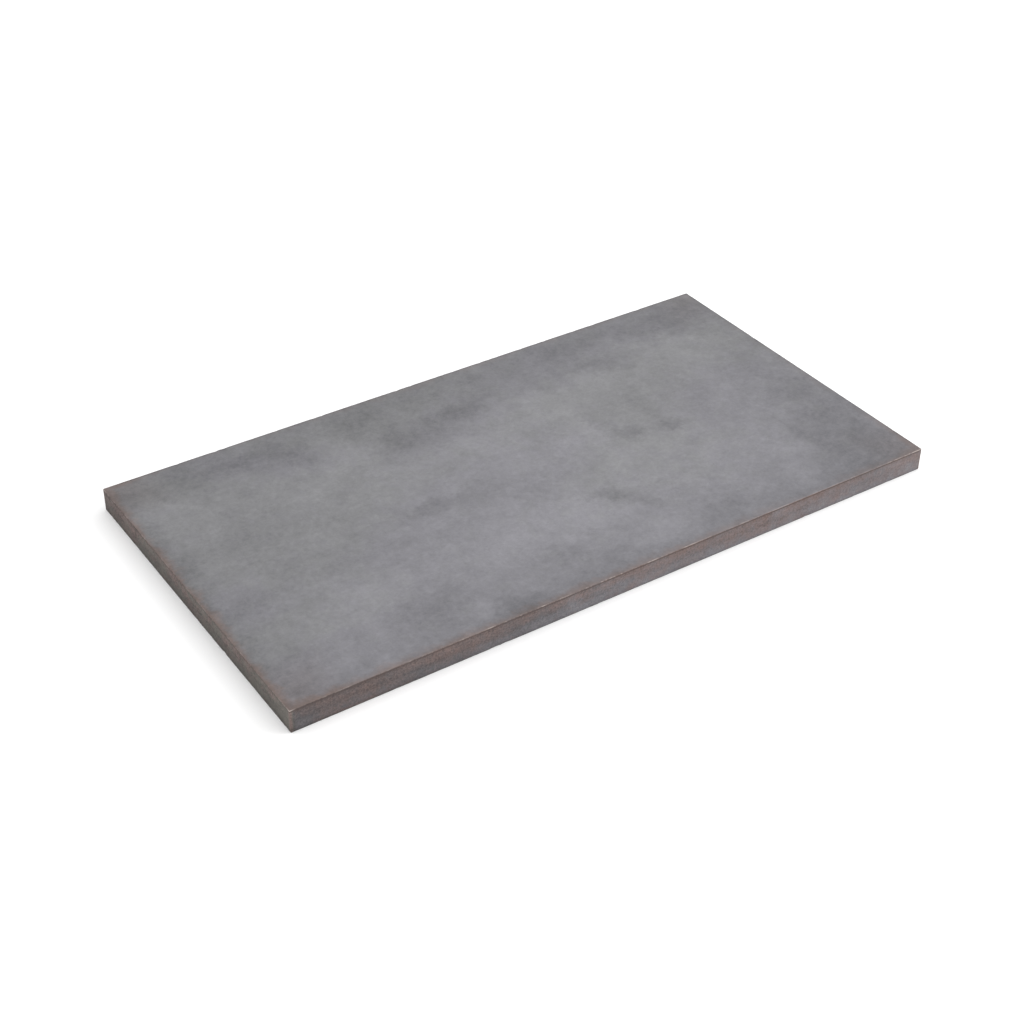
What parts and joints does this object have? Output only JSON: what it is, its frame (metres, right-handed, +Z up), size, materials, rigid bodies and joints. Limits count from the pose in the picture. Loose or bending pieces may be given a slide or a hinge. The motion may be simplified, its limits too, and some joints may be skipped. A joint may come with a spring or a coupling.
{
  "type": "steel plate",
  "caption": "Thick rectangular steel plate lying flat, with a mottled grey patina on both faces, brown tinted edges and lightly eased corners.",
  "frame": {"origin": "centre of the underside, on the surface the plate lies on", "axes": "+X along the length, +Y across the width towards the back edge, +Z up through the thickness"},
  "size_m": [0.58, 0.31, 0.02],
  "materials": {
    "plate_steel": "matte"
  },
  "bodies": {
    "root": {"plate": "plate_steel"}
  },
  "joints": []
}
